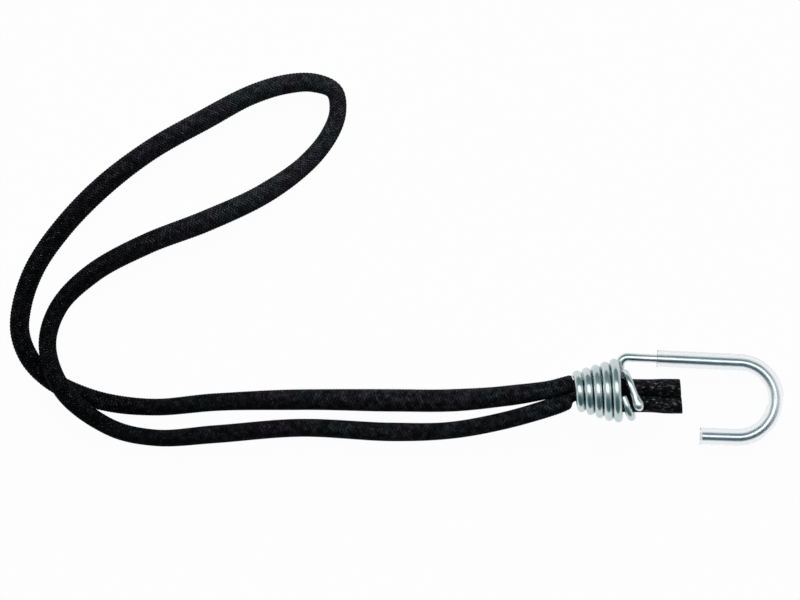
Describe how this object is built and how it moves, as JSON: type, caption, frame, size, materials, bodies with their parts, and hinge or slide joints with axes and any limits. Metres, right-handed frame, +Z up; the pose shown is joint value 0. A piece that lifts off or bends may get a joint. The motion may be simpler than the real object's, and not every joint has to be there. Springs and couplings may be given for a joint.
{
  "type": "bungee cord",
  "caption": "Elastic cord doubled into a loop, its ends gripped side by side in the conical spiral of a wire hook that has a clear sleeve over its bend.",
  "frame": {"origin": "on the table, below the middle of the hook, its sleeve and the clip ring", "axes": "+X along the hook from the spiral to the bend, +Y across it from the tip to the shank, +Z up from the table"},
  "size_m": [0.3405, 0.164, 0.028],
  "materials": {
    "zinc_wire": "bright zinc plate",
    "clear_vinyl": "clear, soft",
    "black_braid": "tight yarn braid",
    "rubber_threads": "matte"
  },
  "bodies": {
    "cord_loop": {"sheath_loop": "black_braid", "core_loop": "rubber_threads", "sheath_leg_upper": "black_braid", "core_leg_upper": "rubber_threads", "sheath_leg_lower": "black_braid", "core_leg_lower": "rubber_threads"},
    "cord_ends": {"sheath_end_upper": "black_braid", "core_end_upper": "rubber_threads", "sheath_end_lower": "black_braid", "core_end_lower": "rubber_threads", "clip_ring": "zinc_wire"},
    "hook": {"hook_wire": "zinc_wire", "hook_sleeve": "clear_vinyl"}
  },
  "joints": [
    {"name": "cord_stretch", "type": "slide", "parent": "cord_loop", "child": "cord_ends", "axis": [1, 0, 0], "range_m": [0, 0.2], "stiffness_N_per_m": 700, "deforming": ["sheath_leg_upper", "core_leg_upper", "sheath_leg_lower", "core_leg_lower"]},
    {"name": "hook_swivel", "type": "hinge", "parent": "cord_ends", "child": "hook", "pos_m": [-0.035, 0.0034, 0.014], "axis": [1, 0, 0], "continuous": true}
  ]
}
